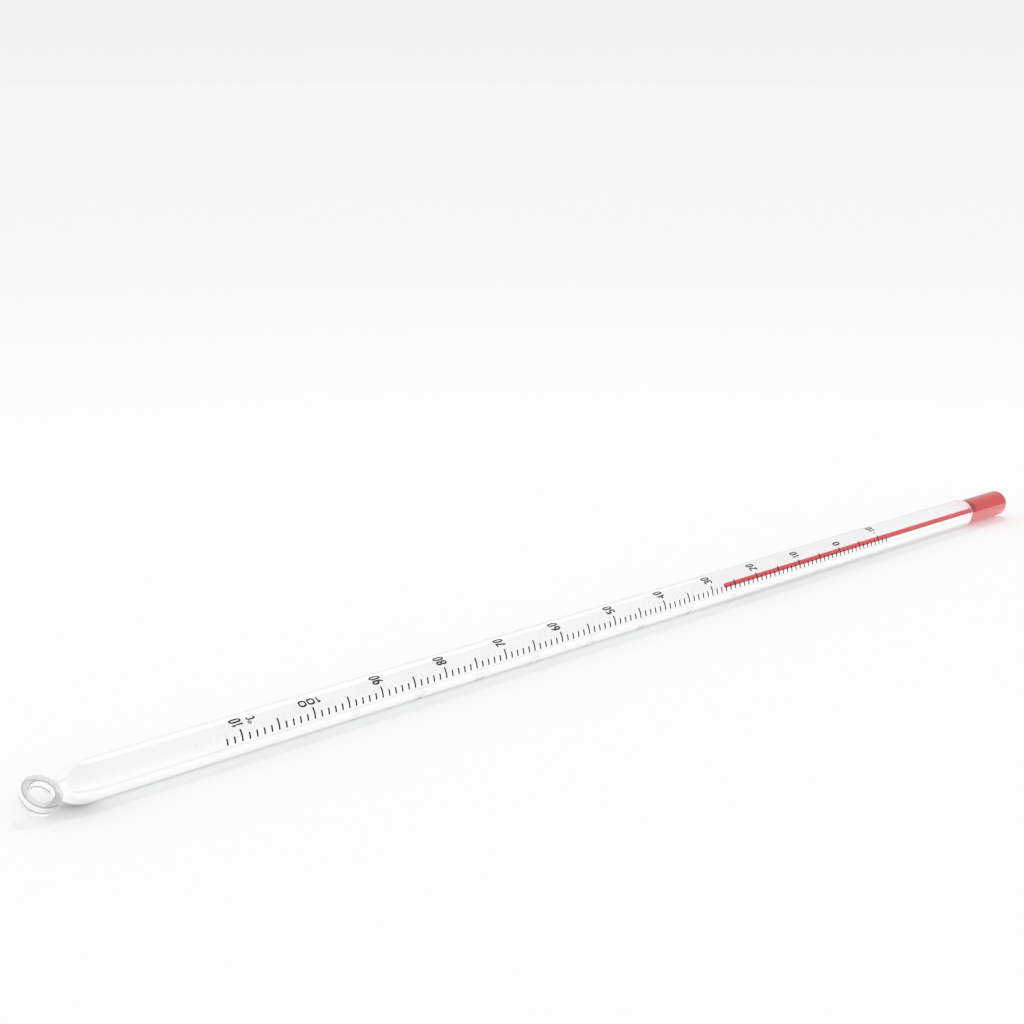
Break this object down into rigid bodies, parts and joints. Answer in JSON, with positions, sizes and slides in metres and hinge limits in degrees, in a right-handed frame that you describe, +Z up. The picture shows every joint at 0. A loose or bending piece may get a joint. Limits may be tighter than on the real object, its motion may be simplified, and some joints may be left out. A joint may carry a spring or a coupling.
{
  "type": "glass thermometer",
  "caption": "Solid-stem glass thermometer with a hanging ring, a spirit bulb and a red column that rises in a capillary past a degree-C scale.",
  "frame": {"origin": "on the surface that the stem lies on, under the middle of the overall length", "axes": "+X along the stem from the ring to the bulb, +Z up, -Y towards the side that the scale faces"},
  "size_m": [0.3, 0.007, 0.007],
  "materials": {
    "clear_glass": "fire-polished clear glass",
    "red_spirit": "dyed red spirit",
    "fired_ink": "black ceramic ink fired into engraved lines"
  },
  "bodies": {
    "thermometer": {"stem_glass": "clear_glass", "ring_shoulder": "clear_glass", "hanging_ring": "clear_glass", "bulb_neck": "clear_glass", "bulb_glass": "clear_glass", "bulb_spirit": "red_spirit", "spirit_thread": "red_spirit", "long_mark_minus_10": "fired_ink", "long_mark_minus_5": "fired_ink", "long_mark_0": "fired_ink", "long_mark_5": "fired_ink", "long_mark_10": "fired_ink", "long_mark_15": "fired_ink", "long_mark_20": "fired_ink", "long_mark_25": "fired_ink", "long_mark_30": "fired_ink", "long_mark_35": "fired_ink", "long_mark_40": "fired_ink", "long_mark_45": "fired_ink", "long_mark_50": "fired_ink", "long_mark_55": "fired_ink", "long_mark_60": "fired_ink", "long_mark_65": "fired_ink", "long_mark_70": "fired_ink", "long_mark_75": "fired_ink", "long_mark_80": "fired_ink", "long_mark_85": "fired_ink", "long_mark_90": "fired_ink", "long_mark_95": "fired_ink", "long_mark_100": "fired_ink", "long_mark_105": "fired_ink", "long_mark_110": "fired_ink"},
    "column_end": {"spirit_meniscus": "red_spirit"}
  },
  "joints": [
    {"name": "column_rise", "type": "slide", "parent": "thermometer", "child": "column_end", "axis": [-1, 0, 0], "range_m": [-0.05876, 0.13684], "deforming": ["spirit_thread"]}
  ]
}
